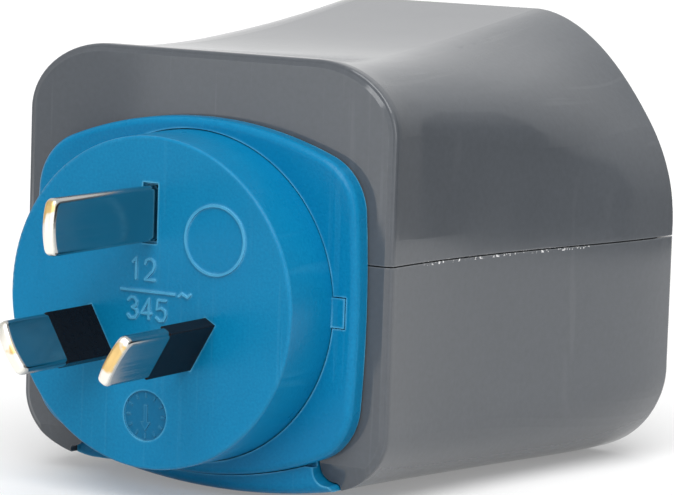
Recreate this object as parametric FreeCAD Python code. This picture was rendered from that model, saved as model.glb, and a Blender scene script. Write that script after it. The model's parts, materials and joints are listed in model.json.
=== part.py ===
import FreeCAD, Part
import math, os

os.makedirs("parts", exist_ok=True)
V = FreeCAD.Vector
UP = V(0, 0, 1)
BACK = V(0, 1, 0)

# Millimetres. The origin is the centre of the plug's pin pattern, on the front face of the plug disc.
# +Z is up towards the earth pin, +Y runs back to the socket, +X is right as seen from the front.

# Fits and clearances
slide_gap = 0.2
fit_gap = 0.12
inlay_gap = 0.02

# Plug pins of the three-pin pattern
blade_w = 6.35
blade_t = 1.6
phase_r = 7.92
earth_r = 10.31
phase_lean = 30.0
earth_len = 20.0
phase_len = 17.35
sleeve_end = 8.72
sleeve_wall = 0.4
tip_crown_r = 8.0
tip_corner_r = 1.0
tip_edge_r = 0.6
pin_foot_y = 12.0

# Plug disc
disc_base_r = 19.27
disc_taper = 0.19
disc_r = disc_base_r - disc_taper
disc_wall = 2.6
disc_front_round = 0.35
plate_front_y = 8.65
plate_t = 2.4
plate_back_y = plate_front_y + plate_t
disc_hole_r = disc_base_r + fit_gap
disc_flange_r = disc_base_r + 1.13
disc_flange_t = 1.15
key_w = 1.3
key_h = 3.4
boss_r = 2.6
boss_x = 13.2
boss_z = 7.4
mark_h = 0.2
mark_line = 0.26

# Plug plate outline: bulged sides joined by corner arcs
plate_side_rim = 3.08
plate_top_rim = 1.43
plate_half_w = disc_base_r + plate_side_rim
plate_half_h = disc_base_r + plate_top_rim
plate_side_r = 160.0
plate_top_r = 47.5
plate_corner_r = 7.2
plate_round = 0.9

# Body stations from front to back: y, half width, top, bottom, corner radii.
# A corner's bulge pulls it to its square corner: round_bulge gives an ellipse, less a flatter middle.
face_y = 11.3
body_back_y = 68.3
station_y = [face_y + 1.5, 26.0, 40.0, 54.0, body_back_y + 0.7]
half_w = [25.2, 26.0, 28.3, 31.25, 32.95]
top_z = [28.15, 27.55, 28.4, 30.05, 32.2]
floor_z = [-21.6, -21.8, -22.2, -22.6, -23.1]
top_rx = [10.8, 12.4, 15.8, 18.9, 20.3]
top_rz = [8.35, 8.6, 11.2, 21.2, 26.2]
round_bulge = math.sqrt(0.5)
top_bulge = [round_bulge, round_bulge, 0.67, 0.6, 0.52]
low_rx = [9.95, 8.6, 9.2, 10.4, 11.8]
low_rz = [7.6, 8.0, 9.2, 10.4, 11.6]
low_bulge = [round_bulge] * 5
wall = 2.2
front_wall_back_y = face_y + 2.0

# Rim of the front face: steps back from the face, each with its inset from the full outline
rim_steps = [(0.0, 0.9), (0.24, 0.46), (0.3, 0.2), (0.4, 0.09), (0.6, 0.02), (0.9, 0.0)]
chin_top_z = -17.9
seam_front_z = 5.35
seam_back_z = 4.8
seam_gap = 0.16
tongue_h = 1.6
tongue_t = 0.9

# Head channel in the body's front wall
channel_half_w = 16.65
channel_top_z = 16.0
flange_half_w = 18.65
flange_front_y = front_wall_back_y + slide_gap
flange_t = 2.4
carrier_back_y = flange_front_y + flange_t
blade_run_back_y = 24.6

# Thumb tab: its rounded underside is lowest a little right of the middle
crown_x = 3.6
crown_z = -22.55
crown_r = 76.0
foot_z = -21.5
plate_screw_reach = disc_flange_r + 1.56
plate_screw_turn = math.radians(48.3)
plate_screw_x = plate_screw_reach * math.cos(plate_screw_turn)
plate_screw_z = -plate_screw_reach * math.sin(plate_screw_turn)
head_top_z = channel_top_z - slide_gap
head_half_w = channel_half_w - slide_gap
step_z = -20.35
step_r = 1.75
step_corner_r = 0.4
tab_front_y = plate_back_y - 1.0
tab_top_z = step_z + step_r + 0.3
tab_round = 1.3
tab_left_x = -12.6

# Blades on the head and the forks they sit in
rear_x = 9.0
rear_t = 1.0
rear_back_y = 23.6
phase_blade_z = (-8.0, -1.0)
earth_blade_z = (3.6, 11.0)
link_t = 0.9
phase_link_x = 4.4
earth_link_half_w = 3.0
earth_link_top_z = 13.5
leaf_t = 0.6
leaf_gap = 0.06
leaf_y = (18.4, 25.2)
strap_half_t = 0.4
strap_foot_w = 3.0
phase_strap_z = (-8.0, -3.6)
earth_strap_z = (8.0, 10.9)

# Socket end: the earth slot over two phase slots
socket_earth_z = 15.7
socket_pitch = 22.23
socket_phase_z = socket_earth_z - socket_pitch
socket_phase_x = socket_pitch / 2
slot_clear = 0.75
phase_pin = (6.35, 4.05)
earth_pin = (4.05, 7.98)
face_plate_y = (body_back_y - 3.9, body_back_y + 0.3)
face_plate_gap = 0.15
ledge_y = (face_plate_y[0] - 1.8, face_plate_y[0])
ledge_w = 1.6

# Shutter and its guide
shutter_y = (face_plate_y[0] - 2.5, face_plate_y[0] - 0.5)
shutter_travel = 5.3
shutter_half_w = 15.6
guide_y = (face_plate_y[0] - 5.0, face_plate_y[0] - 2.7)
guide_half_w = 20.5
guide_z = (-19.4, 23.6)
guide_rail_t = 2.0
guide_rail_z = (-16.0, 2.0)
stem_rail_x = (4.6, 6.4)
stem_rail_z = (3.2, 20.0)
guide_floor_z = (-18.9, -18.1)
spring_r = 1.2
spring_wire = 0.35
spring_turns = 4.5
spring_top_z = socket_phase_z - 4.0
spring_low_z = guide_floor_z[1]
spring_y = (guide_y[1] + face_plate_y[0]) / 2

# Inner blocks
fork_block_y = (16.3, 30.0)
fork_block_half_w = 17.0
fork_block_z = (-10.5, 13.2)
cell_half_w = 2.6
socket_block_y = (40.0, guide_y[0])
socket_block_half_w = 16.2
socket_block_z = (-12.4, 22.6)
clip_y = socket_block_y[0] + 4.0
earth_clip_y = socket_block_y[0] + 1.2
clip_back_y = guide_y[0] - 1.0
clip_half_w = 2.7
clip_half_h = 3.4
clip_leaf_t = 0.7
clip_web_low_z = 7.6
guide_screw_at = (15.9, 10.0)

# Screws
post_r = 3.0
post_at = [(15.0, 35.0), (19.4, guide_y[0] - 9.4)]
screw_r = 1.4
screw_head_r = 2.2
screw_head_z = -19.0
screw_len = 33.0
screw_tip_gap = 3.0
screw_head_h = 1.8


def box(x0, x1, y0, y1, z0, z1):
    return Part.makeBox(x1 - x0, y1 - y0, z1 - z0, V(x0, y0, z0))


def cyl_y(radius, y0, y1, x=0.0, z=0.0):
    return Part.makeCylinder(radius, y1 - y0, V(x, y0, z), BACK)


def cyl_z(radius, z0, z1, x, y):
    return Part.makeCylinder(radius, z1 - z0, V(x, y, z0), UP)


def union(shapes):
    shape = shapes[0]
    for other in shapes[1:]:
        shape = shape.fuse(other)
    return shape.removeSplitter()


def tidy(shape):
    shape = shape.removeSplitter()
    solids = shape.Solids
    return solids[0] if len(solids) == 1 else Part.makeCompound(solids)


def round_edges(shape, radius, keep):
    return shape.makeFillet(radius, [edge for edge in shape.Edges if keep(edge)])


def extruded(points, y0, y1):
    wire = Part.makePolygon([V(x, y0, z) for x, z in points + points[:1]])
    return Part.Face(wire).extrude(V(0, y1 - y0, 0))


def export(name, shape):
    shape.exportStep("parts/" + name + ".step")
    print(name, len(shape.Solids), "solids", shape.isValid(), round(shape.Volume / 1000, 3), "cm3")


# Body sections: straight sides joined by rounded corners
def corner(cx, cz, rx, rz, bulge, start, y):
    turns = [math.radians(start), math.radians(start - 90)]
    (ax, az), (bx, bz) = [(math.cos(turn), math.sin(turn)) for turn in turns]
    points = []
    for step in range(7):
        u = step / 6
        start_share = (1 - u) ** 2
        middle_share = 2 * bulge * u * (1 - u)
        end_share = u ** 2
        total = start_share + middle_share + end_share
        to_start = (start_share + middle_share) / total
        to_end = (middle_share + end_share) / total
        points.append(V(cx + rx * (to_start * ax + to_end * bx), y, cz + rz * (to_start * az + to_end * bz)))
    curve = Part.BSplineCurve()
    curve.interpolate(Points=points, InitialTangent=V(bx, 0, bz), FinalTangent=V(-ax, 0, -az), Scale=False)
    return curve.toShape()


def section(index, inset, y):
    w = half_w[index] - inset
    t = top_z[index] - inset
    b = floor_z[index] + inset
    rx = top_rx[index] - inset
    rz = top_rz[index] - inset
    lx = low_rx[index] - inset
    lz = low_rz[index] - inset
    top_b, low_b = top_bulge[index], low_bulge[index]
    edges = [
        Part.makeLine(V(rx - w, y, t), V(w - rx, y, t)),
        corner(w - rx, t - rz, rx, rz, top_b, 90, y),
        Part.makeLine(V(w, y, t - rz), V(w, y, b + lz)),
        corner(w - lx, b + lz, lx, lz, low_b, 0, y),
        Part.makeLine(V(w - lx, y, b), V(lx - w, y, b)),
        corner(lx - w, b + lz, lx, lz, low_b, -90, y),
        Part.makeLine(V(-w, y, b + lz), V(-w, y, t - rz)),
        corner(rx - w, t - rz, rx, rz, top_b, 180, y),
    ]
    return Part.Wire(edges)


def core(inset):
    wires = [section(i, inset, y) for i, y in enumerate(station_y)]
    return Part.makeLoft(wires, True, False)


def slab(y0, y1):
    return box(-50, 50, y0, y1, -50, 50)


def ring_y(outer, inner, y0, y1):
    return outer.common(slab(y0, y1)).cut(inner)


def front_stack(steps):
    pieces = []
    for (y0, in0), (y1, in1) in zip(steps[:-1], steps[1:]):
        if y1 > y0:
            pieces.append(Part.makeLoft([section(0, in0, y0), section(0, in1, y1)], True, True))
    return pieces


# The two shells share one outer form, split by a seam that drops slightly towards the back
def seam_block(offset, upper):
    slope = (seam_back_z - seam_front_z) / (station_y[-1] - face_y)
    z0 = seam_front_z + offset - face_y * slope
    z1 = seam_front_z + offset + (80 - face_y) * slope
    far = 60 if upper else -60
    wire = Part.makePolygon([V(-50, 0, z0), V(-50, 80, z1), V(-50, 80, far), V(-50, 0, far), V(-50, 0, z0)])
    return Part.Face(wire).extrude(V(100, 0, 0))


def body_outer():
    bevel = front_stack([(face_y + back, inset) for back, inset in rim_steps] + [(station_y[0], 0.0)])
    main = core(0.0).common(slab(station_y[0], body_back_y))
    rear = [edge for edge in main.Edges
            if edge.BoundBox.YMin > body_back_y - 0.01 and edge.BoundBox.YMax < body_back_y + 0.01]
    main = main.makeFillet(1.0, rear)
    chin = Part.makePolygon([V(-50, face_y - 1, chin_top_z), V(-50, face_y, chin_top_z),
                             V(-50, station_y[0], floor_z[0] - 0.1), V(-50, face_y - 1, floor_z[0] - 0.1),
                             V(-50, face_y - 1, chin_top_z)])
    return union([main] + bevel).cut(Part.Face(chin).extrude(V(100, 0, 0)))


def posts(z0, z1, radius):
    return [cyl_z(radius, z0, z1, side * x, y) for x, y in post_at for side in (-1, 1)]


def shells():
    outer = body_outer()
    hollow = core(wall)
    shell = outer.cut(hollow.common(slab(front_wall_back_y, 80)))
    ledge = ring_y(core(wall - 0.5), core(wall + ledge_w), ledge_y[0], ledge_y[1])
    shell = shell.fuse(ledge)
    shell = shell.cut(notch(slide_gap, channel_top_z, -40, 5, front_wall_back_y + 0.1))
    floor_hole = flange_half_w + slide_gap
    shell = shell.cut(box(-floor_hole, floor_hole, front_wall_back_y, blade_run_back_y + 0.2, -40, -17))
    inside = core(wall - 0.4).common(slab(front_wall_back_y, ledge_y[0]))

    upper = shell.fuse(union_posts(inside, seam_front_z - 2, 40)).fuse(ribs(inside, True))
    upper = upper.common(seam_block(seam_gap / 2, True))
    rebate = ring_y(core(tongue_t + 0.3), core(wall + 1), front_wall_back_y + 0.6, ledge_y[0] - 0.4)
    upper = upper.cut(rebate.common(seam_block(tongue_h + 0.2, False)).cut(union_posts(inside, -40, 40)))
    lower = shell.fuse(union_posts(inside, -40, seam_front_z + 2)).fuse(ribs(inside, False))
    lower = lower.common(seam_block(-seam_gap / 2, False))
    tongue = ring_y(core(tongue_t + 0.42), core(wall), front_wall_back_y + 1.0, ledge_y[0] - 0.8)
    tongue = tongue.common(seam_block(tongue_h, False)).common(seam_block(-1.0, True))
    lower = lower.fuse(tongue.cut(union_posts(inside, -40, 40, post_r + 0.3)))
    for side in (-1, 1):
        for x, y in post_at:
            lower = lower.cut(cyl_z(screw_head_r + 0.25, -40, screw_head_z, side * x, y))
            lower = lower.cut(cyl_z(screw_r + 0.2, -40, 20, side * x, y))
            upper = upper.cut(cyl_z(screw_r - 0.05, 0, screw_head_z + screw_len + screw_tip_gap, side * x, y))
    return tidy(upper), tidy(lower)


def union_posts(inside, z0, z1, radius=post_r):
    return Part.makeCompound([post.common(inside) for post in posts(z0, z1, radius)])


# Ribs that grip the two inner blocks from above and below
def ribs(inside, upper):
    rib_t = 1.4
    pieces = []
    places = ((fork_block_y[1] - 2.0, fork_block_z, 11.0), (socket_block_y[0] + 3.0, socket_block_z, 13.0),
              (socket_block_y[1] - 3.4, socket_block_z, 13.0))
    for y, block_z, half in places:
        z0, z1 = (block_z[1] + 0.1, 40) if upper else (-40, block_z[0] - 0.1)
        pieces.append(box(-half, half, y - rib_t / 2, y + rib_t / 2, z0, z1).common(inside))
    z0, z1 = (16.5, 40) if upper else (-40, -7.0)
    half = rear_x - 1.0
    pieces.append(box(-half, half, socket_block_y[0] - 1.7, socket_block_y[0] - 0.1, z0, z1).common(inside))
    return Part.makeCompound(pieces)


def screw(x, y, z_head, length):
    head = cyl_z(screw_head_r, z_head - screw_head_h, z_head, x, y)
    head = round_edges(head, 0.5, lambda e: e.BoundBox.ZMax < z_head - screw_head_h + 0.01)
    slot_len = screw_head_r - 0.6
    for turn in (0, 90):
        slot = box(-slot_len, slot_len, -0.3, 0.3, z_head - screw_head_h - 0.1, z_head - screw_head_h + 0.9)
        slot.rotate(V(0, 0, 0), UP, turn)
        slot.translate(V(x, y, 0))
        head = head.cut(slot)
    shank = cyl_z(screw_r - 0.05, z_head - 0.1, z_head + length, x, y)
    return head.fuse(shank).removeSplitter()


def shell_screws():
    places = [(side * x, y) for x, y in post_at for side in (-1, 1)]
    return Part.makeCompound([screw(x, y, screw_head_z, screw_len) for x, y in places])


# Plug head
def plate_outline(inset):
    side_r = plate_side_r - inset
    top_r = plate_top_r - inset
    r = plate_corner_r - inset
    side_c = plate_half_w - plate_side_r
    top_c = plate_half_h - plate_top_r
    # The corner's centre is at side_r - r from one centre and top_r - r from the other
    a = side_r - r
    b = top_r - r
    d = math.hypot(side_c, top_c)
    along = (a * a - b * b + d * d) / (2 * d)
    across = math.sqrt(a * a - along * along)
    ux, uz = -side_c / d, top_c / d
    cx = side_c + ux * along - uz * across
    cz = uz * along + ux * across
    s = math.hypot(cx - side_c, cz)
    t = math.hypot(cx, cz - top_c)
    on_side = (cx + (cx - side_c) / s * r, cz + cz / s * r)
    on_top = (cx + cx / t * r, cz + (cz - top_c) / t * r)
    mx, mz = (cx - side_c) / s + cx / t, cz / s + (cz - top_c) / t
    m = math.hypot(mx, mz)
    on_corner = (cx + mx / m * r, cz + mz / m * r)
    return on_side, on_corner, on_top, plate_half_w - inset, plate_half_h - inset


def plate_wire(inset, y):
    (sx, sz), (kx, kz), (tx, tz), w, h = plate_outline(inset)
    arcs = [((sx, -sz), (w, 0), (sx, sz)), ((sx, sz), (kx, kz), (tx, tz)), ((tx, tz), (0, h), (-tx, tz)),
            ((-tx, tz), (-kx, kz), (-sx, sz)), ((-sx, sz), (-w, 0), (-sx, -sz)),
            ((-sx, -sz), (-kx, -kz), (-tx, -tz)), ((-tx, -tz), (0, -h), (tx, -tz)),
            ((tx, -tz), (kx, -kz), (sx, -sz))]
    edges = [Part.Arc(*[V(x, y, z) for x, z in arc]).toShape() for arc in arcs]
    return Part.Wire(edges)


def key_box(gap, y0, y1):
    return box(disc_base_r - 1.0, disc_base_r + 0.3 + key_w + gap, y0, y1, -key_h / 2 - gap, key_h / 2 + gap)


def plug_plate():
    blank = Part.Face(plate_wire(0.0, plate_front_y)).extrude(V(0, plate_t, 0))
    blank = round_edges(blank, plate_round, lambda e: e.BoundBox.YMax < plate_front_y + 0.01)
    blank = blank.cut(cyl_y(disc_hole_r, 5, 20))
    blank = blank.cut(cyl_y(disc_flange_r + 0.1, plate_back_y - disc_flange_t - 0.1, 20))
    blank = blank.cut(key_box(fit_gap, 5, 20))
    for side in (-1, 1):
        blank = blank.cut(cyl_y(0.8, plate_back_y - 1.7, 20, side * plate_screw_x, plate_screw_z))
    return tidy(blank)


def pin_places():
    lean = math.radians(phase_lean)
    return {
        "earth": (0.0, earth_r, 0.0),
        "line": (phase_r * math.cos(lean), -phase_r * math.sin(lean), -phase_lean),
        "neutral": (-phase_r * math.cos(lean), -phase_r * math.sin(lean), phase_lean),
    }


def placed(shape, place):
    x, z, turn = place
    shape.rotate(V(0, 0, 0), BACK, -turn)
    shape.translate(V(x, 0, z))
    return shape


def blade_block(width, thick, y0, y1):
    return box(-thick / 2, thick / 2, y0, y1, -width / 2, width / 2)


def stroke(points, x, z, width, height):
    wire = Part.makePolygon([V(x + u * width, -mark_h, z + v * height) for u, v in points])
    edge = wire.makeOffset2D(mark_line / 2, 0, False, False, True)
    return Part.Face(edge).extrude(V(0, mark_h + 0.2, 0))


# Plain running digits stand where the plug's rating would be
def disc_marks():
    ring_x, ring_z, ring_r = 8.9, 8.0, 4.05
    ring = cyl_y(ring_r, -mark_h, 0.2, ring_x, ring_z).cut(cyl_y(ring_r - 0.28, -1, 1, ring_x, ring_z))
    bar = box(-3.7, 3.8, -mark_h, 0.2, 1.27, 1.53)
    one = [(0.2, 0.8), (0.55, 1.0), (0.55, 0.0)]
    two = [(0.0, 0.76), (0.1, 0.93), (0.35, 1.0), (0.65, 1.0), (0.92, 0.87), (0.96, 0.68), (0.8, 0.45),
           (0.0, 0.0), (1.0, 0.0)]
    three = [(0.02, 0.86), (0.28, 1.0), (0.68, 1.0), (0.93, 0.82), (0.86, 0.62), (0.45, 0.53),
             (0.9, 0.42), (1.0, 0.22), (0.76, 0.02), (0.25, 0.0), (0.0, 0.14)]
    four_bend = [(0.75, 1.0), (0.0, 0.3), (1.0, 0.3)]
    five = [(0.95, 1.0), (0.15, 1.0), (0.06, 0.55), (0.5, 0.63), (0.9, 0.5), (1.0, 0.28), (0.8, 0.04),
            (0.35, 0.0), (0.0, 0.14)]
    wave = [(0.0, 0.3), (0.25, 0.75), (0.5, 0.5), (0.75, 0.25), (1.0, 0.7)]
    over, under, digit_w, digit_h = 2.75, -1.8, 1.3, 2.35
    marks = [ring, bar, stroke(wave, 4.3, 1.05, 1.5, 0.7)]
    marks.append(stroke(one, -2.3, over, digit_w, digit_h))
    marks.append(stroke(two, -0.35, over, digit_w, digit_h))
    marks.append(stroke(three, -2.6, under, digit_w, digit_h))
    marks.append(stroke(four_bend, -0.7, under, digit_w, digit_h))
    stem_x = -0.7 + 0.75 * digit_w
    marks.append(box(stem_x - mark_line / 2, stem_x + mark_line / 2, -mark_h, 0.2, under, under + digit_h))
    marks.append(stroke(five, 1.3, under, digit_w, digit_h))
    return marks


def dial_recess(disc):
    dial_z, dial_r, depth = -12.9, 2.9, 0.25
    disc = disc.cut(cyl_y(dial_r, -1, depth, 0, dial_z))
    raised = [box(-0.22, 0.22, depth - 0.15, depth + 0.1, dial_z - 1.1, dial_z + 1.2)]
    raised.append(extruded([(-0.65, dial_z - 0.75), (0.65, dial_z - 0.75), (0.0, dial_z - 1.75)],
                           depth - 0.15, depth + 0.1))
    for step in range(12):
        tick = box(-0.09, 0.09, depth - 0.15, depth + 0.1, 2.1, 2.62)
        tick.rotate(V(0, 0, 0), BACK, step * 30)
        tick.translate(V(0, 0, dial_z))
        raised.append(tick)
    for piece in raised:
        disc = disc.fuse(piece)
    return disc


def plug_disc():
    disc = Part.makeCone(disc_r, disc_base_r, plate_front_y, V(0, 0, 0), BACK)
    disc = round_edges(disc, disc_front_round, lambda e: e.BoundBox.YMax < 0.01 and e.BoundBox.ZLength > 20)
    disc = disc.fuse(cyl_y(disc_base_r, plate_front_y, plate_back_y))
    disc = disc.fuse(cyl_y(disc_flange_r, plate_back_y - disc_flange_t, plate_back_y))
    disc = disc.fuse(key_box(0.0, plate_front_y - 0.12, plate_back_y))
    disc = disc.cut(cyl_y(disc_r - 2.2, disc_wall, 30))
    for place in pin_places().values():
        disc = disc.fuse(placed(blade_block(blade_w + 3.2, blade_t + 3.2, 1, plate_back_y - 0.3), place))
    for side in (-1, 1):
        disc = disc.fuse(cyl_y(boss_r, 1, plate_back_y, side * boss_x, boss_z))
        disc = disc.cut(cyl_y(0.95, disc_wall + 1.5, 30, side * boss_x, boss_z))
    for name, place in pin_places().items():
        disc = disc.cut(placed(blade_block(blade_w + 2 * inlay_gap, blade_t + 2 * inlay_gap, -5, 30), place))
        if name == "earth":
            disc = disc.cut(placed(blade_block(blade_w + 0.6, blade_t + 0.5, -5, 0.6), place))
    for mark in disc_marks():
        disc = disc.fuse(mark)
    return tidy(dial_recess(disc))


def sleeve_core():
    return blade_block(blade_w - 2 * sleeve_wall, blade_t - 2 * sleeve_wall, -20, 20)


def pin(length, sleeved):
    tip = -length
    blade = blade_block(blade_w, blade_t, tip, pin_foot_y)
    crown = Part.makeCylinder(tip_crown_r, 2 * blade_t, V(-blade_t, tip + tip_crown_r, 0), V(1, 0, 0))
    blade = blade.common(crown.fuse(box(-blade_t, blade_t, tip + tip_crown_r, 20, -blade_w, blade_w)))
    crown_back_y = tip + tip_crown_r - math.sqrt(tip_crown_r ** 2 - blade_w ** 2 / 4)
    corners = [e for e in blade.Edges if e.BoundBox.YMax < crown_back_y + 0.01 and e.BoundBox.XLength > 1]
    blade = blade.makeFillet(tip_corner_r, corners)
    rim = [e for e in blade.Edges
           if e.BoundBox.XLength < 0.01 and e.BoundBox.YMax < crown_back_y + tip_corner_r + 0.01]
    blade = blade.makeFillet(tip_edge_r, rim)
    if sleeved:
        ring = blade_block(blade_w + 1, blade_t + 1, -sleeve_end, 1.0)
        blade = blade.cut(ring.cut(sleeve_core()))
    return blade


def sleeve():
    outer = blade_block(blade_w, blade_t, -sleeve_end, 1.0)
    long_edges = [e for e in outer.Edges if e.BoundBox.YLength > 5]
    outer = outer.makeFillet(0.12, long_edges)
    return outer.cut(sleeve_core())


# A rear blade is a link plate behind its pin and a tail bent back from it
def rear_blade(x_tail, x_link0, x_link1, z0, z1):
    link = box(x_link0, x_link1, pin_foot_y, pin_foot_y + link_t, z0, z1)
    tail = box(x_tail - rear_t / 2, x_tail + rear_t / 2, pin_foot_y, rear_back_y, z0, z1)
    tail = tail.makeChamfer(0.3, [e for e in tail.Edges if e.BoundBox.YMin > rear_back_y - 0.01
                                  and e.BoundBox.ZLength > 1])
    return union([link, tail])


# Outline shared by the shell's notch and the head's tab: straight sides that step out above the foot
def notch(gap, z_top, z_low, y0, y1):
    w = head_half_w + gap
    foot_w = flange_half_w + gap
    z = step_z + gap
    bend_r = step_r - gap
    lip_r = step_corner_r + gap
    half_turn = math.sqrt(0.5)

    def side(sign):
        bend_x, bend_z = w + bend_r, z + bend_r
        lip_x, lip_z = foot_w - lip_r, z - lip_r
        bend = Part.Arc(V(sign * w, y0, bend_z),
                        V(sign * (bend_x - bend_r * half_turn), y0, bend_z - bend_r * half_turn),
                        V(sign * bend_x, y0, z))
        lip = Part.Arc(V(sign * lip_x, y0, z),
                       V(sign * (lip_x + lip_r * half_turn), y0, lip_z + lip_r * half_turn),
                       V(sign * foot_w, y0, lip_z))
        return [Part.makeLine(V(sign * w, y0, z_top), V(sign * w, y0, bend_z)),
                bend.toShape(),
                Part.makeLine(V(sign * bend_x, y0, z), V(sign * lip_x, y0, z)),
                lip.toShape(),
                Part.makeLine(V(sign * foot_w, y0, lip_z), V(sign * foot_w, y0, z_low))]

    edges = side(1) + [Part.makeLine(V(foot_w, y0, z_low), V(-foot_w, y0, z_low))] + side(-1)
    edges.append(Part.makeLine(V(-w, y0, z_top), V(w, y0, z_top)))
    wire = Part.Wire(Part.__sortEdges__(edges))
    return Part.Face(wire).extrude(V(0, y1 - y0, 0))


def head_carrier():
    crown = cyl_y(crown_r, 0, 40, crown_x, crown_z + crown_r)
    neck = notch(0.0, head_top_z, -30, plate_back_y, flange_front_y + 0.1).common(crown)
    tab = notch(0.0, tab_top_z, -30, tab_front_y, flange_front_y).common(crown)
    tab = tab.common(box(tab_left_x, 30, 0, 40, -40, 0))
    low_front = [e for e in tab.Edges
                 if e.BoundBox.YMax < tab_front_y + 0.01 and e.BoundBox.ZMin < crown_z + 1]
    tab = tab.makeFillet(tab_round, low_front)
    lip = Part.Face(plate_wire(-0.15, plate_front_y - 1)).extrude(V(0, plate_t + 1, 0))
    flange = box(-flange_half_w, flange_half_w, flange_front_y, carrier_back_y, foot_z, head_top_z)
    foot = box(-flange_half_w, flange_half_w, flange_front_y, blade_run_back_y, foot_z, step_z)
    neck = neck.cut(box(-50, 50, 0, 40, -50, step_z + step_r))
    form = core(0.05)
    carrier = union([neck, tab.cut(lip), flange.common(form), foot.common(form)])
    carrier = carrier.cut(box(-11.6, 11.6, 5, pin_foot_y + link_t, -9.0, 14.2))
    for x, (z0, z1) in ((0.0, earth_blade_z), (rear_x, phase_blade_z), (-rear_x, phase_blade_z)):
        slot = rear_t / 2 + inlay_gap
        carrier = carrier.cut(box(x - slot, x + slot, 5, 40, z0 - inlay_gap, z1 + inlay_gap))
    for side in (-1, 1):
        for x, z in ((boss_x, boss_z), (plate_screw_x, plate_screw_z)):
            carrier = carrier.cut(cyl_y(1.2, 5, 40, side * x, z))
            carrier = carrier.cut(cyl_y(2.1, carrier_back_y - 1.2, 40, side * x, z))
    # Grip grooves across the underside of the foot
    for row in range(5):
        y = 15.2 + row * 1.9
        carrier = carrier.cut(box(-10, 10, y - 0.35, y + 0.35, -30, foot_z + 0.4))
    return tidy(carrier)


def head_screws():
    shapes = []
    for side in (-1, 1):
        for x, z, depth in ((boss_x, boss_z, 6.0), (plate_screw_x, plate_screw_z, 9.6)):
            head = cyl_y(1.95, carrier_back_y - 1.2, carrier_back_y - 0.1, side * x, z)
            shank = cyl_y(0.75 if depth > 9 else 0.9, depth, carrier_back_y - 1.0, side * x, z)
            slot_y = carrier_back_y - 0.6
            slot = box(side * x - 2.5, side * x + 2.5, slot_y, carrier_back_y + 1, z - 0.25, z + 0.25)
            shapes.append(head.fuse(shank).cut(slot).removeSplitter())
    return Part.makeCompound(shapes)


def earth_rear_blade():
    link = box(-earth_link_half_w, earth_link_half_w, pin_foot_y, pin_foot_y + link_t,
               earth_blade_z[0], earth_link_top_z)
    return union([link, rear_blade(0.0, -rear_t / 2, rear_t / 2, *earth_blade_z)])


# Contacts inside the body
def fork_strap(x, z0, z1, back_y, strap_z, shift):
    inner = rear_t / 2 + leaf_gap
    outer = inner + leaf_t
    y0, y1 = leaf_y
    leaves = [box(x - outer, x - inner, y0, y1, z0, z1), box(x + inner, x + outer, y0, y1, z0, z1)]
    web = box(x - outer, x + outer, y1 - 0.1, y1 + leaf_t, z0, z1)
    half = strap_half_t
    strap = box(x - half, x + half, y1 + leaf_t - 0.1, back_y, *strap_z)
    foot = box(min(x, x + shift) - half, max(x, x + shift) + half, back_y - 2 * half, back_y, *strap_z)
    return union(leaves + [web, strap, foot])


def phase_clip(side):
    x = side * socket_phase_x
    grip = phase_pin[1] / 2 + 0.05
    x0, x1 = x - clip_half_w, x + clip_half_w
    outer = grip + clip_leaf_t
    leaves = [box(x0, x1, clip_y, clip_back_y, socket_phase_z + grip, socket_phase_z + outer),
              box(x0, x1, clip_y, clip_back_y, socket_phase_z - outer, socket_phase_z - grip)]
    web = box(x0, x1, clip_y, clip_y + clip_leaf_t, socket_phase_z - outer, socket_phase_z + outer)
    return union(leaves + [web])


def earth_clip():
    grip = earth_pin[0] / 2 + 0.05
    outer = grip + clip_leaf_t
    z0, z1 = socket_earth_z - clip_half_h, socket_earth_z + clip_half_h
    leaves = [box(grip, outer, earth_clip_y, clip_back_y, z0, z1),
              box(-outer, -grip, earth_clip_y, clip_back_y, z0, z1)]
    web = box(-outer, outer, earth_clip_y, earth_clip_y + clip_leaf_t, clip_web_low_z, z1)
    return union(leaves + [web])


def fork_block():
    y0, y1 = fork_block_y
    block = box(-fork_block_half_w, fork_block_half_w, y0, y1, *fork_block_z)
    block = round_edges(block, 1.2, lambda e: e.BoundBox.YLength > 5)
    for x in (-rear_x, 0.0, rear_x):
        block = block.cut(box(x - 1.1, x + 1.1, 0, y0 + 2, -20, 20))
        block = block.cut(box(x - cell_half_w, x + cell_half_w, y0 + 1.6, y1 - 2.0, -20, 12.0))
    for x, z in ((rear_x, phase_blade_z), (-rear_x, phase_blade_z), (0.0, (7.9, 11.0))):
        block = block.cut(box(x - 0.5, x + 0.5, 20, 40, z[0], z[1]))
    return tidy(block)


def socket_block():
    y0, y1 = socket_block_y
    block = box(-socket_block_half_w, socket_block_half_w, y0, y1, *socket_block_z)
    block = round_edges(block, 2.0, lambda e: e.BoundBox.YLength > 5)
    sx, sz = guide_screw_at
    for side in (-1, 1):
        x = side * socket_phase_x
        block = block.cut(box(x - 3.7, x + 3.7, clip_y - 0.9, 80, socket_phase_z - 3.1, socket_phase_z + 3.1))
        block = block.cut(box(side * rear_x - 0.6, side * rear_x + 0.6, 0, clip_y,
                              phase_strap_z[0] - 0.3, phase_strap_z[1] + 0.9))
        notch_x = sorted((side * (sx - 2.4), side * 30))
        block = block.cut(box(notch_x[0], notch_x[1], y1 - 9, 80, sz - 2.4, sz + 2.4))
    block = block.cut(box(-3.2, 3.2, earth_clip_y - 0.1, 80, 7.4, 20.6))
    block = block.cut(box(-0.6, 0.6, 0, earth_clip_y, earth_strap_z[0] - 0.2, earth_strap_z[1] + 0.2))
    return tidy(block)


def pin_window(x, z, size, extra, y0, y1):
    w, h = size[0] + extra, size[1] + extra
    return box(x - w / 2, x + w / 2, y0, y1, z - h / 2, z + h / 2)


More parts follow.
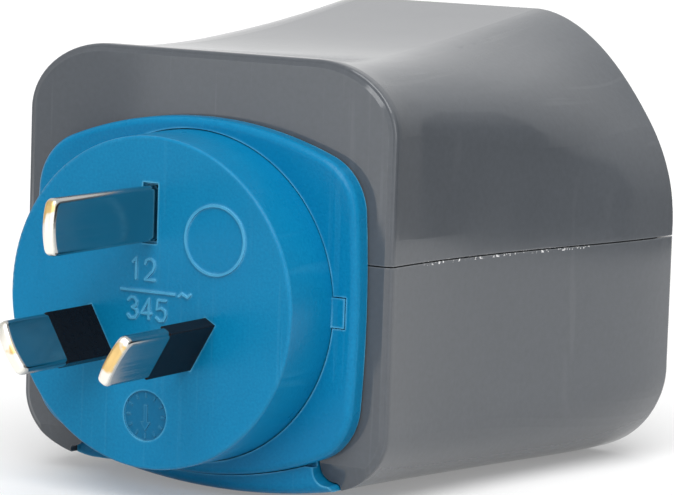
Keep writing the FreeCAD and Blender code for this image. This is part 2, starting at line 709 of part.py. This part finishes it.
def cut_windows(shape, extra, y0, y1):
    for side in (-1, 1):
        shape = shape.cut(pin_window(side * socket_phase_x, socket_phase_z, phase_pin, extra, y0, y1))
    return shape.cut(pin_window(0.0, socket_earth_z, earth_pin, extra, y0, y1))


def shutter_guide():
    y0, y1 = guide_y
    plate = box(-guide_half_w, guide_half_w, y0, y1, *guide_z)
    plate = round_edges(plate, 4.0, lambda e: e.BoundBox.YLength > 1)
    plate = cut_windows(plate, 1.2, 0, 80)
    rail_back = face_plate_y[0]
    rails = []
    sx, sz = guide_screw_at
    for side in (-1, 1):
        x0 = side * (shutter_half_w + slide_gap)
        x1 = side * (shutter_half_w + slide_gap + guide_rail_t)
        rails.append(box(min(x0, x1), max(x0, x1), y0, rail_back, *guide_rail_z))
        stem_x = sorted(side * x for x in stem_rail_x)
        rails.append(box(*stem_x, y0, rail_back, *stem_rail_z))
        rails.append(cyl_y(2.6, y0, rail_back, side * sx, sz))
    floor = box(-4.0, 4.0, y0, rail_back, *guide_floor_z)
    plate = union([plate, floor] + rails)
    for side in (-1, 1):
        plate = plate.cut(cyl_y(1.15, 0, 80, side * sx, sz))
    return tidy(plate)


def shutter():
    y0, y1 = shutter_y
    low = spring_top_z
    wing_top = socket_phase_z + shutter_travel + 4.0
    wings = box(-shutter_half_w, shutter_half_w, y0, y1, low, wing_top)
    for side in (-1, 1):
        x = side * socket_phase_x
        mid = socket_phase_z + shutter_travel
        window = box(x - 3.6, x + 3.6, 0, 80, mid - 2.3, mid + 2.3)
        wings = wings.cut(round_edges(window, 0.5, lambda e: e.BoundBox.YLength > 10))
    stem_top = socket_earth_z - earth_pin[1] / 2 + shutter_travel - 0.2
    ramp = Part.makePolygon([V(-4.3, y0, 1), V(-4.3, y1, 1), V(-4.3, y1, stem_top - 1.9),
                             V(-4.3, y0, stem_top), V(-4.3, y0, 1)])
    stem = Part.Face(ramp).extrude(V(8.6, 0, 0))
    seat = cyl_z(0.6, low - 1.0, low + 0.2, 0, spring_y)
    return tidy(union([wings, stem, seat]))


def shutter_spring():
    height = spring_top_z - spring_low_z - spring_wire
    radius = spring_r - spring_wire / 2
    steps = round(spring_turns * 16)
    points = []
    for i in range(steps + 1):
        angle = 2 * math.pi * spring_turns * i / steps
        points.append(V(radius * math.cos(angle), radius * math.sin(angle), height * i / steps))
    curve = Part.BSplineCurve()
    curve.interpolate(points)
    path = Part.Wire([curve.toShape()])
    profile = Part.Wire([Part.makeCircle(spring_wire / 2, points[0], curve.tangent(curve.FirstParameter)[0])])
    coil = path.makePipeShell([profile], True, True)
    coil.translate(V(0, spring_y, spring_low_z + spring_wire / 2))
    return coil


def socket_face():
    plate = core(wall + face_plate_gap).common(slab(*face_plate_y))
    rim = [e for e in plate.Edges if e.BoundBox.YMin > face_plate_y[1] - 0.01]
    plate = plate.makeChamfer(0.5, rim)
    plate = cut_windows(plate, slot_clear, 0, 80)
    for side in (-1, 1):
        plate = plate.cut(cyl_y(0.9, 0, face_plate_y[1] - 1.2, side * guide_screw_at[0], guide_screw_at[1]))
    return tidy(plate)


def guide_screws():
    shapes = []
    sx, sz = guide_screw_at
    for x in (-sx, sx):
        head = cyl_y(2.0, guide_y[0] - 1.5, guide_y[0], x, sz)
        shank = cyl_y(0.88, guide_y[0] - 0.1, face_plate_y[1] - 1.6, x, sz)
        slot = box(x - 2.5, x + 2.5, 0, guide_y[0] - 0.9, sz - 0.25, sz + 0.25)
        shapes.append(head.fuse(shank).cut(slot).removeSplitter())
    return Part.makeCompound(shapes)


upper_shell, lower_shell = shells()
export("upper_shell", upper_shell)
export("lower_shell", lower_shell)
export("shell_screws", shell_screws())
export("plug_plate", plug_plate())
export("plug_disc", plug_disc())
places = pin_places()
export("earth_pin", placed(pin(earth_len, False), places["earth"]))
export("line_pin", placed(pin(phase_len, True), places["line"]))
export("neutral_pin", placed(pin(phase_len, True), places["neutral"]))
export("line_sleeve", placed(sleeve(), places["line"]))
export("neutral_sleeve", placed(sleeve(), places["neutral"]))
export("earth_blade", earth_rear_blade())
export("line_blade", rear_blade(rear_x, phase_link_x, rear_x + rear_t / 2, *phase_blade_z))
export("neutral_blade", rear_blade(-rear_x, -rear_x - rear_t / 2, -phase_link_x, *phase_blade_z))
export("head_carrier", head_carrier())
export("head_screws", head_screws())
export("line_strap", fork_strap(rear_x, *phase_blade_z, clip_y, phase_strap_z, strap_foot_w))
export("neutral_strap", fork_strap(-rear_x, *phase_blade_z, clip_y, phase_strap_z, -strap_foot_w))
export("earth_strap", fork_strap(0.0, *earth_blade_z, earth_clip_y, earth_strap_z, 0.0))
export("line_clip", phase_clip(1))
export("neutral_clip", phase_clip(-1))
export("earth_clip", earth_clip())
export("fork_block", fork_block())
export("socket_block", socket_block())
export("shutter_guide", shutter_guide())
export("shutter", shutter())
export("shutter_spring", shutter_spring())
export("socket_face", socket_face())
export("guide_screws", guide_screws())
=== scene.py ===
import bpy
import json
import math
from mathutils import Euler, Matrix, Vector


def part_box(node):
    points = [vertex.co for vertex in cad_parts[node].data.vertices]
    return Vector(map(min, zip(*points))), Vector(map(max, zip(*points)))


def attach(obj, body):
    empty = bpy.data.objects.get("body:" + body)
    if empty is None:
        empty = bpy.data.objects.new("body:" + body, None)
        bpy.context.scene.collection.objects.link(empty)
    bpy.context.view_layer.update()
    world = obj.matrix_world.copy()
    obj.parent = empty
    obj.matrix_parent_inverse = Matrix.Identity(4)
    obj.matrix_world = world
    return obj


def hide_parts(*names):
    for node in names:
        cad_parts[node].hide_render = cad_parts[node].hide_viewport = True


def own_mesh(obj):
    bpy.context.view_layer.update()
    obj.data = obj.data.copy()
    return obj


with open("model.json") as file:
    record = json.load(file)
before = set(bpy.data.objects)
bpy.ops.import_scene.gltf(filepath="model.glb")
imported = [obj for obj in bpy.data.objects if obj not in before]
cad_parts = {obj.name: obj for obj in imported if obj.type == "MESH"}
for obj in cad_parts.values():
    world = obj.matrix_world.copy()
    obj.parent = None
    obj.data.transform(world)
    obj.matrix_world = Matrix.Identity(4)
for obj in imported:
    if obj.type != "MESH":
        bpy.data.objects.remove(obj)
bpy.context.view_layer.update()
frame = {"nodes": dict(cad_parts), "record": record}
cadNodes = frame["nodes"]
print("frame loaded:", len(cadNodes), "nodes")

# most values of a noise texture lie in this span, which the finishes stretch over their own range
noiseSpan = (0.3, 0.7)
# places of the Mix node's sockets, whose names repeat
mixAmount, mixValues, mixColors, mixedValue, mixedColor = 0, (2, 3), (6, 7), 0, 2


def addNode(tree, kind, sockets, **settings):
    # each socket takes a plain value or the output of another node
    node = tree.nodes.new(kind)
    for name, value in settings.items():
        setattr(node, name, value)
    for socket, value in sockets.items():
        if isinstance(value, bpy.types.NodeSocket):
            tree.links.new(value, node.inputs[socket])
        else:
            node.inputs[socket].default_value = value
    return node


def addMath(tree, operation, *terms, **settings):
    return addNode(tree, "ShaderNodeMath", dict(enumerate(terms)), operation=operation, **settings).outputs[0]


def addNoise(tree, coordinate, scale, detail, roughness=0.5):
    sockets = {"Vector": coordinate, "Scale": scale, "Detail": detail, "Roughness": roughness}
    return addNode(tree, "ShaderNodeTexNoise", sockets).outputs["Fac"]


def mixValue(tree, amount, low, high):
    sockets = {mixAmount: amount, mixValues[0]: low, mixValues[1]: high}
    return addNode(tree, "ShaderNodeMix", sockets).outputs[mixedValue]


def mixColor(tree, amount, low, high):
    # goes from low to high as amount rises
    sockets = {mixAmount: amount}
    for place, color in zip(mixColors, (low, high)):
        sockets[place] = (*color, 1) if isinstance(color, tuple) else color
    return addNode(tree, "ShaderNodeMix", sockets, data_type="RGBA").outputs[mixedColor]


def stretchValue(tree, source, low, high, span=noiseSpan):
    sockets = {"Value": source, "From Min": span[0], "From Max": span[1], "To Min": low, "To Max": high}
    return addNode(tree, "ShaderNodeMapRange", sockets).outputs[0]


def ramp(tree, source, stops):
    node = addNode(tree, "ShaderNodeValToRGB", {"Fac": source})
    elements = node.color_ramp.elements
    while len(elements) < len(stops):
        elements.new(0.5)
    for element, (place, shade) in zip(elements, stops):
        element.position = place
        element.color = (shade, shade, shade, 1)
    return node.outputs["Color"]


def splitAxes(tree, coordinate):
    return addNode(tree, "ShaderNodeSeparateXYZ", {"Vector": coordinate}).outputs


def startGroup(name, inputs, outputs):
    group = bpy.data.node_groups.new(name, "ShaderNodeTree")
    group.interface.new_socket(name="Coordinate", in_out="INPUT", socket_type="NodeSocketVector")
    for label, value in inputs.items():
        socket = group.interface.new_socket(name=label, in_out="INPUT", socket_type="NodeSocketFloat")
        socket.default_value = value
    for label in outputs:
        group.interface.new_socket(name=label, in_out="OUTPUT", socket_type="NodeSocketFloat")
    return group, group.nodes.new("NodeGroupInput").outputs, group.nodes.new("NodeGroupOutput").inputs


def placeGroup(tree, group, coordinate, **values):
    node = tree.nodes.new("ShaderNodeGroup")
    node.node_tree = group
    tree.links.new(coordinate, node.inputs["Coordinate"])
    for name, value in values.items():
        node.inputs[name].default_value = value
    return node.outputs


scratchSettings = {
    "directions": ((0.35, 900.0), (1.9, 700.0), (2.75, 1100.0)), "tilt": 0.6, "spin": 1.3, "length": 26.0,
    "detail": 2.0, "roughness": 0.6, "lines": [(0.0, 0.0), (0.66, 0.0), (0.72, 1.0)],
    "patch": 90.0, "patchDetail": 3.0,
}


def buildHairScratches():
    # long thin streaks in three directions, thinned out by a slow noise
    look = scratchSettings
    group, enter, leave = startGroup("hairScratches", {"Cover": 0.5}, ["Mask"])
    total = None
    for turn, stretch in look["directions"]:
        turned = addNode(group, "ShaderNodeMapping", {
            "Vector": enter["Coordinate"],
            "Rotation": (turn, turn * look["tilt"], turn * look["spin"]),
            "Scale": (stretch, look["length"], look["length"]),
        })
        streak = addNoise(group, turned.outputs[0], 1.0, look["detail"], look["roughness"])
        lines = ramp(group, streak, look["lines"])
        total = lines if total is None else addMath(group, "MAXIMUM", total, lines)
    patch = addNoise(group, enter["Coordinate"], look["patch"], look["patchDetail"])
    cover = addMath(group, "MULTIPLY", patch, enter["Cover"])
    group.links.new(addMath(group, "MULTIPLY", total, cover), leave["Mask"])
    return group


grainSettings = {
    "fineDetail": 4.0, "slow": 55.0, "slowDetail": 5.0, "slowRoughness": 0.6, "mottle": 0.55,
    "dots": 420.0, "specks": [(0.0, 1.0), (0.035, 1.0), (0.06, 0.0)],
}


def buildMouldGrain():
    # texture of a moulded surface: fine height for bump, slow drift for gloss, both mixed for the colour, and specks
    look = grainSettings
    group, enter, leave = startGroup("mouldGrain", {"Grain": 2500.0}, ["Height", "Drift", "Tone", "Specks"])
    fine = addNoise(group, enter["Coordinate"], enter["Grain"], look["fineDetail"])
    slow = addNoise(group, enter["Coordinate"], look["slow"], look["slowDetail"], look["slowRoughness"])
    dots = addNode(group, "ShaderNodeTexVoronoi", {"Vector": enter["Coordinate"], "Scale": look["dots"]})
    group.links.new(fine, leave["Height"])
    group.links.new(slow, leave["Drift"])
    group.links.new(mixValue(group, look["mottle"], slow, fine), leave["Tone"])
    group.links.new(ramp(group, dots.outputs["Distance"], look["specks"]), leave["Specks"])
    return group


edgeWearAndHighlightSettings = {"samples": 6, "patch": 260.0, "patchDetail": 3.0, "uneven": [(0.0, 0.35), (0.35, 0.35), (0.6, 1.0)]}


def buildEdgeWearAndHighlight():
    # how far the rounded normal leaves the true one: high on edges that hands and sockets rub, where the lighter
    # colour is both wear and a painted highlight
    look = edgeWearAndHighlightSettings
    group, enter, leave = startGroup("edgeWearAndHighlight", {"Radius": 0.0003, "Gain": 4.0}, ["Mask"])
    rounded = addNode(group, "ShaderNodeBevel", {"Radius": enter["Radius"]}, samples=look["samples"])
    true = addNode(group, "ShaderNodeNewGeometry", {})
    normals = {0: rounded.outputs[0], 1: true.outputs["Normal"]}
    facing = addNode(group, "ShaderNodeVectorMath", normals, operation="DOT_PRODUCT")
    turn = addMath(group, "SUBTRACT", 1.0, facing.outputs["Value"])
    strong = addMath(group, "MULTIPLY", turn, enter["Gain"], use_clamp=True)
    patch = addNoise(group, enter["Coordinate"], look["patch"], look["patchDetail"])
    group.links.new(addMath(group, "MULTIPLY", strong, ramp(group, patch, look["uneven"])), leave["Mask"])
    return group


hairScratches = buildHairScratches()
mouldGrain = buildMouldGrain()
edgeWearAndHighlight = buildEdgeWearAndHighlight()
print("shared effects built")


def startMaterial(name, shader):
    material = bpy.data.materials.new(name)
    material.use_nodes = True
    tree = material.node_tree
    principled = tree.nodes["Principled BSDF"]
    for socket, value in shader.items():
        principled.inputs[socket].default_value = value
    coordinate = addNode(tree, "ShaderNodeTexCoord", {}).outputs["Object"]
    return material, tree, coordinate


def wireShader(material, color, gloss, height, depth):
    tree = material.node_tree
    principled = tree.nodes["Principled BSDF"]
    bump = addNode(tree, "ShaderNodeBump", {"Height": height, "Strength": 1.0, "Distance": depth})
    tree.links.new(color, principled.inputs["Base Color"])
    tree.links.new(gloss, principled.inputs["Roughness"])
    tree.links.new(bump.outputs[0], principled.inputs["Normal"])
    return material


def seamBurrAndGlint(tree, coordinate, burrAndGlint):
    # bright specks of torn moulding flash along the middle of the seam, whose height changes with y: partly whitened
    # flash and partly painted glints
    axes = splitAxes(tree, coordinate)
    line = addMath(tree, "MULTIPLY_ADD", axes["Y"], burrAndGlint["slope"], burrAndGlint["height"])
    near = addMath(tree, "COMPARE", axes["Z"], line, burrAndGlint["band"])
    along = addMath(tree, "COMPARE", axes["Y"], burrAndGlint["middle"], burrAndGlint["reach"])
    specks = ramp(tree, addNoise(tree, coordinate, burrAndGlint["grit"], burrAndGlint["gritDetail"]), burrAndGlint["specks"])
    return addMath(tree, "MULTIPLY", addMath(tree, "MULTIPLY", near, along), specks)


def faceMarks(tree, coordinate, color, wornAndHighlight, marks):
    # raised marks are painted paler, partly as rubbed wear and partly as a painted highlight, and the recessed dial
    # is tinted darker
    raised = addMath(tree, "LESS_THAN", splitAxes(tree, coordinate)["Y"], marks["raiseFrom"])
    places = {0: coordinate, 1: marks["dialPlace"]}
    away = addNode(tree, "ShaderNodeVectorMath", places, operation="DISTANCE").outputs["Value"]
    dial = addMath(tree, "LESS_THAN", away, marks["dialRadius"])
    dialDarker = mixColor(tree, addMath(tree, "MULTIPLY", dial, marks["dialTint"]), color, marks["dialShade"])
    return mixColor(tree, addMath(tree, "MULTIPLY", raised, marks["raiseTint"]), dialDarker, wornAndHighlight)


def mouldedPlastic(name, look):
    material, tree, coordinate = startMaterial(name, look["shader"])
    surface = placeGroup(tree, mouldGrain, coordinate, Grain=look["grain"])
    scratches = placeGroup(tree, hairScratches, coordinate, Cover=look["scratchCover"])["Mask"]
    edges = placeGroup(tree, edgeWearAndHighlight, coordinate, Radius=look["edgeWearAndHighlightRadius"], Gain=look["edgeWearAndHighlightGain"])["Mask"]
    shade = mixColor(tree, stretchValue(tree, surface["Tone"], 0, 1), look["low"], look["high"])
    # edges take the worn colour, which there is also a painted highlight
    shade = mixColor(tree, edges, shade, look["wornAndHighlight"])
    shade = mixColor(tree, addMath(tree, "MULTIPLY", scratches, look["scratchTint"]), shade, look["wornAndHighlight"])
    if "marks" in look:
        shade = faceMarks(tree, coordinate, shade, look["wornAndHighlight"], look["marks"])
    if "burrAndGlint" in look:
        # near-white seam specks: whitened flash and painted glints
        shade = mixColor(tree, seamBurrAndGlint(tree, coordinate, look["burrAndGlint"]), shade, look["burrAndGlint"]["color"])
    # where a speck of dust lies in a scratch it is duller still
    worn = addMath(tree, "MULTIPLY", scratches, look["scratchGloss"])
    drift = stretchValue(tree, surface["Drift"], *look["rough"])
    gloss = addMath(tree, "MULTIPLY_ADD", worn, surface["Specks"], drift)
    height = addMath(tree, "MULTIPLY_ADD", scratches, look["scratchHeight"], surface["Height"])
    return wireShader(material, shade, gloss, height, look["grainDepth"])


# the worn colour of edges, scratches and raised marks is also a painted highlight on edges and raised marks
greySettings = {
    "low": (0.079, 0.087, 0.098), "high": (0.092, 0.101, 0.114),
    "wornAndHighlight": (0.2, 0.21, 0.22), "edgeWearAndHighlightRadius": 0.0004, "edgeWearAndHighlightGain": 2.5,
    "scratchTint": 0.22, "scratchCover": 0.9, "scratchGloss": 0.22, "scratchHeight": -1.5,
    "rough": (0.09, 0.15), "grain": 1500.0, "grainDepth": 0.0000015,
    "burrAndGlint": {"slope": -0.00953, "height": 0.00532, "band": 0.00024, "middle": 0.034, "reach": 0.016,
             "grit": 2200.0, "gritDetail": 2.0, "specks": [(0.0, 0.0), (0.57, 0.0), (0.63, 1.0)],
             "color": (0.8, 0.8, 0.8)},
    "shader": {"IOR": 1.5},
}
blueSettings = {
    "low": (0.0, 0.158, 0.335), "high": (0.004, 0.216, 0.425),
    "wornAndHighlight": (0.12, 0.46, 0.7), "edgeWearAndHighlightRadius": 0.00045, "edgeWearAndHighlightGain": 4.5,
    "scratchTint": 0.14, "scratchCover": 0.6, "scratchGloss": 0.15, "scratchHeight": -1.5,
    "rough": (0.24, 0.34), "grain": 3000.0, "grainDepth": 0.00002,
    "marks": {"raiseFrom": -0.00005, "raiseTint": 0.33, "dialPlace": (0.0, 0.0, -0.0129), "dialRadius": 0.0029,
              "dialTint": 0.5, "dialShade": (0.0, 0.07, 0.16)},
    "shader": {"IOR": 1.5, "Specular IOR Level": 0.15},
}
innerSettings = {
    "low": (0.55, 0.54, 0.49), "high": (0.62, 0.61, 0.56),
    "wornAndHighlight": (0.7, 0.69, 0.64), "edgeWearAndHighlightRadius": 0.0003, "edgeWearAndHighlightGain": 1.5,
    "scratchTint": 0.1, "scratchCover": 0.3, "scratchGloss": 0.1, "scratchHeight": -1.5,
    "rough": (0.5, 0.6), "grain": 2200.0, "grainDepth": 0.00001,
    "shader": {"IOR": 1.5},
}
sleeveSettings = {
    "low": (0.005, 0.005, 0.007), "high": (0.009, 0.009, 0.011),
    "wornAndHighlight": (0.03, 0.03, 0.033), "edgeWearAndHighlightRadius": 0.0002, "edgeWearAndHighlightGain": 1.5,
    "scratchTint": 0.2, "scratchCover": 0.9, "scratchGloss": 0.3, "scratchHeight": -1.5,
    "rough": (0.16, 0.26), "grain": 1800.0, "grainDepth": 0.000004,
    "shader": {"IOR": 1.5, "Specular IOR Level": 0.09},
}
greyPlastic = mouldedPlastic("greyPlastic", greySettings)
bluePlastic = mouldedPlastic("bluePlastic", blueSettings)
innerPlastic = mouldedPlastic("innerPlastic", innerSettings)
sleevePlastic = mouldedPlastic("sleevePlastic", sleeveSettings)
print("plastics made")


def cutEnds(tree, coordinate, color, gloss, ends):
    # sheared ends that face the front: painted pale as a highlight, and dull, with plating worn to brass in patches
    normal = addNode(tree, "ShaderNodeTexCoord", {}).outputs["Normal"]
    front = stretchValue(tree, splitAxes(tree, normal)["Y"], 0, 1, ends["turned"])
    patch = addNoise(tree, coordinate, ends["patch"], ends["patchDetail"])
    highlightAndBrass = mixColor(tree, ramp(tree, patch, ends["worn"]), ends["paleHighlight"], ends["brass"])
    return mixColor(tree, front, color, highlightAndBrass), mixValue(tree, front, gloss, ends["rough"])


def brushedMetal(name, look):
    material, tree, coordinate = startMaterial(name, {"Metallic": 1.0})
    along = addNode(tree, "ShaderNodeMapping", {"Vector": coordinate, "Scale": look["stretch"]})
    brush = addNoise(tree, along.outputs[0], 1.0, look["brushDetail"])
    drift = placeGroup(tree, mouldGrain, coordinate)["Drift"]
    color = mixColor(tree, stretchValue(tree, drift, 0, 1), look["low"], look["high"])
    gloss = stretchValue(tree, brush, *look["rough"])
    # front-facing ends get a painted highlight and patches of brass wear
    if "ends" in look:
        color, gloss = cutEnds(tree, coordinate, color, gloss, look["ends"])
    return wireShader(material, color, gloss, brush, look["brushDepth"])


pinSettings = {
    "low": (0.40, 0.405, 0.40), "high": (0.48, 0.48, 0.465), "rough": (0.13, 0.22),
    "stretch": (400, 60, 4000), "brushDetail": 4.0, "brushDepth": 0.0000012,
    # ends: the front-facing ends are painted pale as a highlight, with brass wear in patches
    "ends": {"turned": (-0.35, -0.8), "patch": 330.0, "patchDetail": 3.0,
             "worn": [(0.0, 0.0), (0.54, 0.0), (0.6, 1.0)],
             "paleHighlight": (0.95, 0.92, 0.84), "brass": (0.86, 0.6, 0.25), "rough": 0.42},
}
brassSettings = {
    "low": (0.62, 0.42, 0.16), "high": (0.75, 0.53, 0.24), "rough": (0.2, 0.34),
    "stretch": (1500, 60, 1500), "brushDetail": 4.0, "brushDepth": 0.000003,
}
screwSettings = {
    "low": (0.42, 0.42, 0.43), "high": (0.55, 0.55, 0.56), "rough": (0.24, 0.4),
    "stretch": (900, 900, 900), "brushDetail": 4.0, "brushDepth": 0.000003,
}
pinMetal = brushedMetal("pinMetal", pinSettings)
brassMetal = brushedMetal("brassMetal", brassSettings)
screwMetal = brushedMetal("screwMetal", screwSettings)
print("metals made")

finishBySlot = {
    "grey_shell": greyPlastic, "socket_plastic": greyPlastic, "blue_plastic": bluePlastic,
    "pin_plating": pinMetal, "pin_sleeve": sleevePlastic, "contact_brass": brassMetal,
    "screw_steel": screwMetal, "spring_steel": screwMetal, "inner_plastic": innerPlastic,
    "shutter_plastic": innerPlastic,
}
slotByNode = {part["node"]: part["material_slot"] for part in frame["record"]["subparts"]}
for nodeName, piece in cadNodes.items():
    for materialSlot in piece.material_slots:
        materialSlot.material = finishBySlot[slotByNode[nodeName]]
print("finishes on", len(cadNodes), "nodes")

# inset keeps the coil just inside the box of the CAD node that it stands for
spring = {"node": "shutter_spring", "body": "adapter_body", "joint": "shutter_drop", "turns": 4.5, "turnSteps": 24,
          "wire": 0.00035, "wireRounding": 3, "inset": 0.000005}


def windSpring():
    # a coil of wire wound inside the box of the CAD spring node, which is hidden; neither shortens as the shutter
    # drops
    low, high = (Vector(corner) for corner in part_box(spring["node"]))
    middle = (low + high) / 2
    edge = spring["wire"] / 2 + spring["inset"]
    radius = (high.x - low.x) / 2 - edge
    steps = round(spring["turns"] * spring["turnSteps"])
    bpy.ops.curve.primitive_nurbs_path_add(location=(0, 0, 0))
    coil = bpy.context.active_object
    coil.name = "returnSpring"
    coil.data.splines.clear()
    path = coil.data.splines.new("POLY")
    path.points.add(steps)
    for index, point in enumerate(path.points):
        angle = math.tau * spring["turns"] * index / steps
        climb = low.z + edge + (high.z - low.z - 2 * edge) * index / steps
        point.co = (middle.x + radius * math.cos(angle), middle.y + radius * math.sin(angle), climb, 1)
    coil.data.bevel_depth = spring["wire"] / 2
    coil.data.bevel_resolution = spring["wireRounding"]
    coil.data.use_fill_caps = True
    bpy.ops.object.convert(target="MESH")
    bpy.ops.object.shade_smooth()
    coil = bpy.context.active_object
    slotName = slotByNode[spring["node"]]
    coil.data.materials.clear()
    coil.data.materials.append(finishBySlot[slotName])
    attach(coil, spring["body"])
    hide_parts(spring["node"])
    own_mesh(coil)


windSpring()

studio = {
    "floorHeight": -0.02335, "floorSize": 6.0, "floorShade": 0.74, "floorRoughness": 0.9, "floorGlow": 0.25,
    "worldLevel": 0.5, "glossyLevel": 1.0,
    "sunStrength": 2.7, "sunSpread": 55.0, "sunFrom": (0.29, -0.52, 0.8),
    "sidePower": 0.5, "sideSize": 0.35, "sidePlace": (0.62, -0.36, 0.12), "sideAim": (0.0, 0.03, 0.0),
    "cameraAim": (0.01749, 0.01217, 0.0069), "cameraPlace": (0.22748, -0.33913, 0.05789), "cameraRoll": 1.83,
    "lens": 194.04, "sensor": 36.0, "clipStart": 0.01,
}


def seenDirectly(tree):
    # 1 for rays from the camera and from mirror-like or clear surfaces, 0 for the rays that light the object
    rays = addNode(tree, "ShaderNodeLightPath", {}).outputs
    mirror = addMath(tree, "MAXIMUM", rays["Is Glossy Ray"], rays["Is Transmission Ray"])
    return addMath(tree, "MAXIMUM", rays["Is Camera Ray"], mirror)


def stageMaterial(name, shade, roughness, glow, rise=None):
    # the glow changes with height where rise is given
    stageShader = {
        "Base Color": (shade, shade, shade, 1), "Roughness": roughness, "Specular IOR Level": 0.0,
        "Emission Color": (1, 1, 1, 1),
    }
    material, tree, coordinate = startMaterial(name, stageShader)
    strength = glow
    if rise:
        height = splitAxes(tree, coordinate)["Z"]
        strength = stretchValue(tree, height, glow, rise["glow"], (rise["from"], rise["to"]))
    level = addMath(tree, "MULTIPLY", seenDirectly(tree), strength)
    tree.links.new(level, tree.nodes["Principled BSDF"].inputs["Emission Strength"])
    return material


def makeFloor():
    bpy.ops.mesh.primitive_plane_add(size=studio["floorSize"], location=(0, 0, studio["floorHeight"]))
    floor = bpy.context.active_object
    floor.name = "floor"
    bpy.ops.object.transform_apply(location=True)
    cloth = stageMaterial("floorWhite", studio["floorShade"], studio["floorRoughness"], studio["floorGlow"])
    floor.data.materials.append(cloth)


def makeWorld():
    world = bpy.data.worlds.new("studioWorld")
    bpy.context.scene.world = world
    world.use_nodes = True
    tree = world.node_tree
    backdrop = tree.nodes["Background"]
    level = stretchValue(tree, seenDirectly(tree), studio["worldLevel"], studio["glossyLevel"], (0, 1))
    backdrop.inputs["Color"].default_value = (1, 1, 1, 1)
    tree.links.new(level, backdrop.inputs["Strength"])


# Studio sheets that only the gloss of the object picks up, each upright over the line from start to end.
# lean moves the upper corner at the start outwards.
sheets = {
    "sideFlag": {"start": (0.106, 0.131), "end": (0.30, -0.09), "low": -0.0083, "high": 0.092, "shade": 0.03,
                 "glow": 0.0, "lean": 0.021, "rise": {"from": 0.045, "to": 0.095, "glow": 0.55}},
    "sideScreen": {"start": (-0.056, 0.322), "end": (0.369, -0.162), "low": -0.01, "high": 0.3, "shade": 0.03,
                   "glow": 0.2, "rise": {"from": 0.01, "to": 0.14, "glow": 1.0}},
    "frontFlag": {"start": (-0.35, 0.05), "end": (0.02, -0.42), "low": -0.0233, "high": 0.8, "shade": 0.3,
                  "glow": 0.3},
    "frontCard": {"start": (-0.105, -0.13), "end": (-0.055, -0.16), "low": -0.022, "high": 0.05, "shade": 0.8,
                  "glow": 1.2},
}


def hangSheet(name, start, end, low, high, shade, glow, rise=None, lean=0.0):
    across = Vector((end[0] - start[0], end[1] - start[1], 0.0))
    middle = Vector(((start[0] + end[0]) / 2, (start[1] + end[1]) / 2, (low + high) / 2))
    upright = (math.pi / 2, 0, math.atan2(across.y, across.x))
    bpy.ops.mesh.primitive_plane_add(size=1.0, location=middle, rotation=upright)
    sheet = bpy.context.active_object
    sheet.name = name
    sheet.scale = (across.length, high - low, 1.0)
    bpy.ops.object.transform_apply(location=True, rotation=True, scale=True)
    along = across.normalized()
    for corner in sheet.data.vertices:
        if corner.co.z > middle.z and (corner.co - middle).dot(along) < 0:
            corner.co -= along * lean
    sheet.data.materials.append(stageMaterial(name + "Cloth", shade, 1.0, glow, rise))
    sheet.visible_camera = False
    sheet.visible_diffuse = False
    sheet.visible_shadow = False
    sheet.visible_transmission = False


def addLamp(name, kind, energy):
    lamp = bpy.data.objects.new(name, bpy.data.lights.new(name, kind))
    lamp.data.energy = energy
    bpy.context.scene.collection.objects.link(lamp)
    return lamp


def addSun():
    lamp = addLamp("keySun", "SUN", studio["sunStrength"])
    lamp.data.angle = math.radians(studio["sunSpread"])
    lamp.rotation_euler = Vector(studio["sunFrom"]).to_track_quat("Z", "Y").to_euler()


def addSideLight():
    lamp = addLamp("sideLight", "AREA", studio["sidePower"])
    lamp.data.size = studio["sideSize"]
    lamp.location = studio["sidePlace"]
    view = Vector(studio["sideAim"]) - Vector(studio["sidePlace"])
    lamp.rotation_euler = view.to_track_quat("-Z", "Y").to_euler()


def addCamera():
    lensData = bpy.data.cameras.new("productCamera")
    lensData.lens = studio["lens"]
    lensData.sensor_width = studio["sensor"]
    lensData.clip_start = studio["clipStart"]
    camera = bpy.data.objects.new("productCamera", lensData)
    bpy.context.scene.collection.objects.link(camera)
    camera.location = studio["cameraPlace"]
    view = (Vector(studio["cameraAim"]) - camera.location).to_track_quat("-Z", "Y").to_matrix()
    roll = Euler((0, 0, math.radians(studio["cameraRoll"]))).to_matrix()
    camera.rotation_euler = (view @ roll).to_euler()
    bpy.context.scene.camera = camera


makeFloor()
makeWorld()
addSun()
addSideLight()
for sheetName, sheetSettings in sheets.items():
    hangSheet(sheetName, **sheetSettings)
addCamera()
bpy.context.scene.view_settings.view_transform = "Standard"
print("stage, light and camera set")
